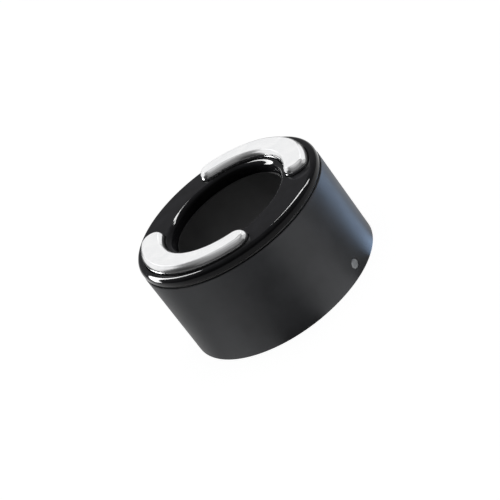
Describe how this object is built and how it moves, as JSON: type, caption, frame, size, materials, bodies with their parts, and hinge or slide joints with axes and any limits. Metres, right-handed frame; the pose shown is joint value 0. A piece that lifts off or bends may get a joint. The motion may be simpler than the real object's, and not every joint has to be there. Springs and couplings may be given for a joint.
{
  "type": "finger-worn motion controller",
  "caption": "Ring worn on a finger: a short matte sleeve round a finger hole, a gloss black top ring, and curved silver click pads that press down on springs.",
  "frame": {"origin": "middle of the bottom face, on the axis of the finger hole", "axes": "+Z along the finger hole towards the click pads; the first pad's middle is turned 31 degrees from +X about +Z"},
  "size_m": [0.036, 0.036, 0.0199],
  "materials": {
    "shell": "fine soft-touch matte charcoal",
    "bezel": "polished piano black",
    "pad_silver": "polished silver, clear coated",
    "liner": "smooth matte black",
    "base": "fine matte black",
    "lens": "frosted smoke",
    "seal": "black silicone",
    "silicone": "translucent silicone",
    "screw_steel": "dark nickel",
    "contact_gold": "gold plated",
    "magnet": "nickel plated",
    "circuit_board": "green solder mask",
    "flex": "amber film",
    "chassis": "moulded grey",
    "battery": "foil pouch",
    "foam": "closed-cell foam",
    "wire": "insulated wire",
    "actuator_steel": "drawn steel can",
    "adhesive": "foam tape",
    "chip": "moulded black",
    "shield_can": "tinned steel",
    "ceramic": "ceramic",
    "led": "moulded lens",
    "carrier": "moulded white"
  },
  "bodies": {
    "housing": {"outer_shell": "shell", "light_window": "lens", "base_ring": "base", "base_gasket": "seal", "base_screws": "screw_steel", "charge_pins": "contact_gold", "dock_magnets": "magnet", "charge_board": "circuit_board", "status_led": "led", "flex_cable": "flex", "chassis": "chassis", "battery_cell": "battery", "battery_foam": "foam", "battery_leads": "wire", "protection_board": "circuit_board", "haptic_actuator": "actuator_steel", "haptic_pad": "adhesive", "main_board": "circuit_board", "processor_chip": "chip", "radio_module": "shield_can", "motion_sensor": "chip", "antenna_chip": "ceramic", "board_capacitors": "ceramic", "switch_a": "shield_can", "switch_b": "shield_can", "return_studs_a": "silicone", "return_studs_b": "silicone", "finger_liner": "liner", "liner_seal": "seal", "bezel_seal": "seal", "top_bezel": "bezel", "bezel_screws": "screw_steel"},
    "click_pad_a": {"pad_cap_a": "pad_silver", "pad_carrier_a": "carrier", "switch_button_a": "chip"},
    "click_pad_b": {"pad_cap_b": "pad_silver", "pad_carrier_b": "carrier", "switch_button_b": "chip"}
  },
  "joints": [
    {"name": "pad_a_press", "type": "slide", "parent": "housing", "child": "click_pad_a", "axis": [0, 0, -1], "range_m": [0, 0.00035], "stiffness_N_per_m": 2000, "springref_m": -0.0003, "deforming": ["return_studs_a"]},
    {"name": "pad_b_press", "type": "slide", "parent": "housing", "child": "click_pad_b", "axis": [0, 0, -1], "range_m": [0, 0.00035], "stiffness_N_per_m": 2000, "springref_m": -0.0003, "deforming": ["return_studs_b"]}
  ]
}
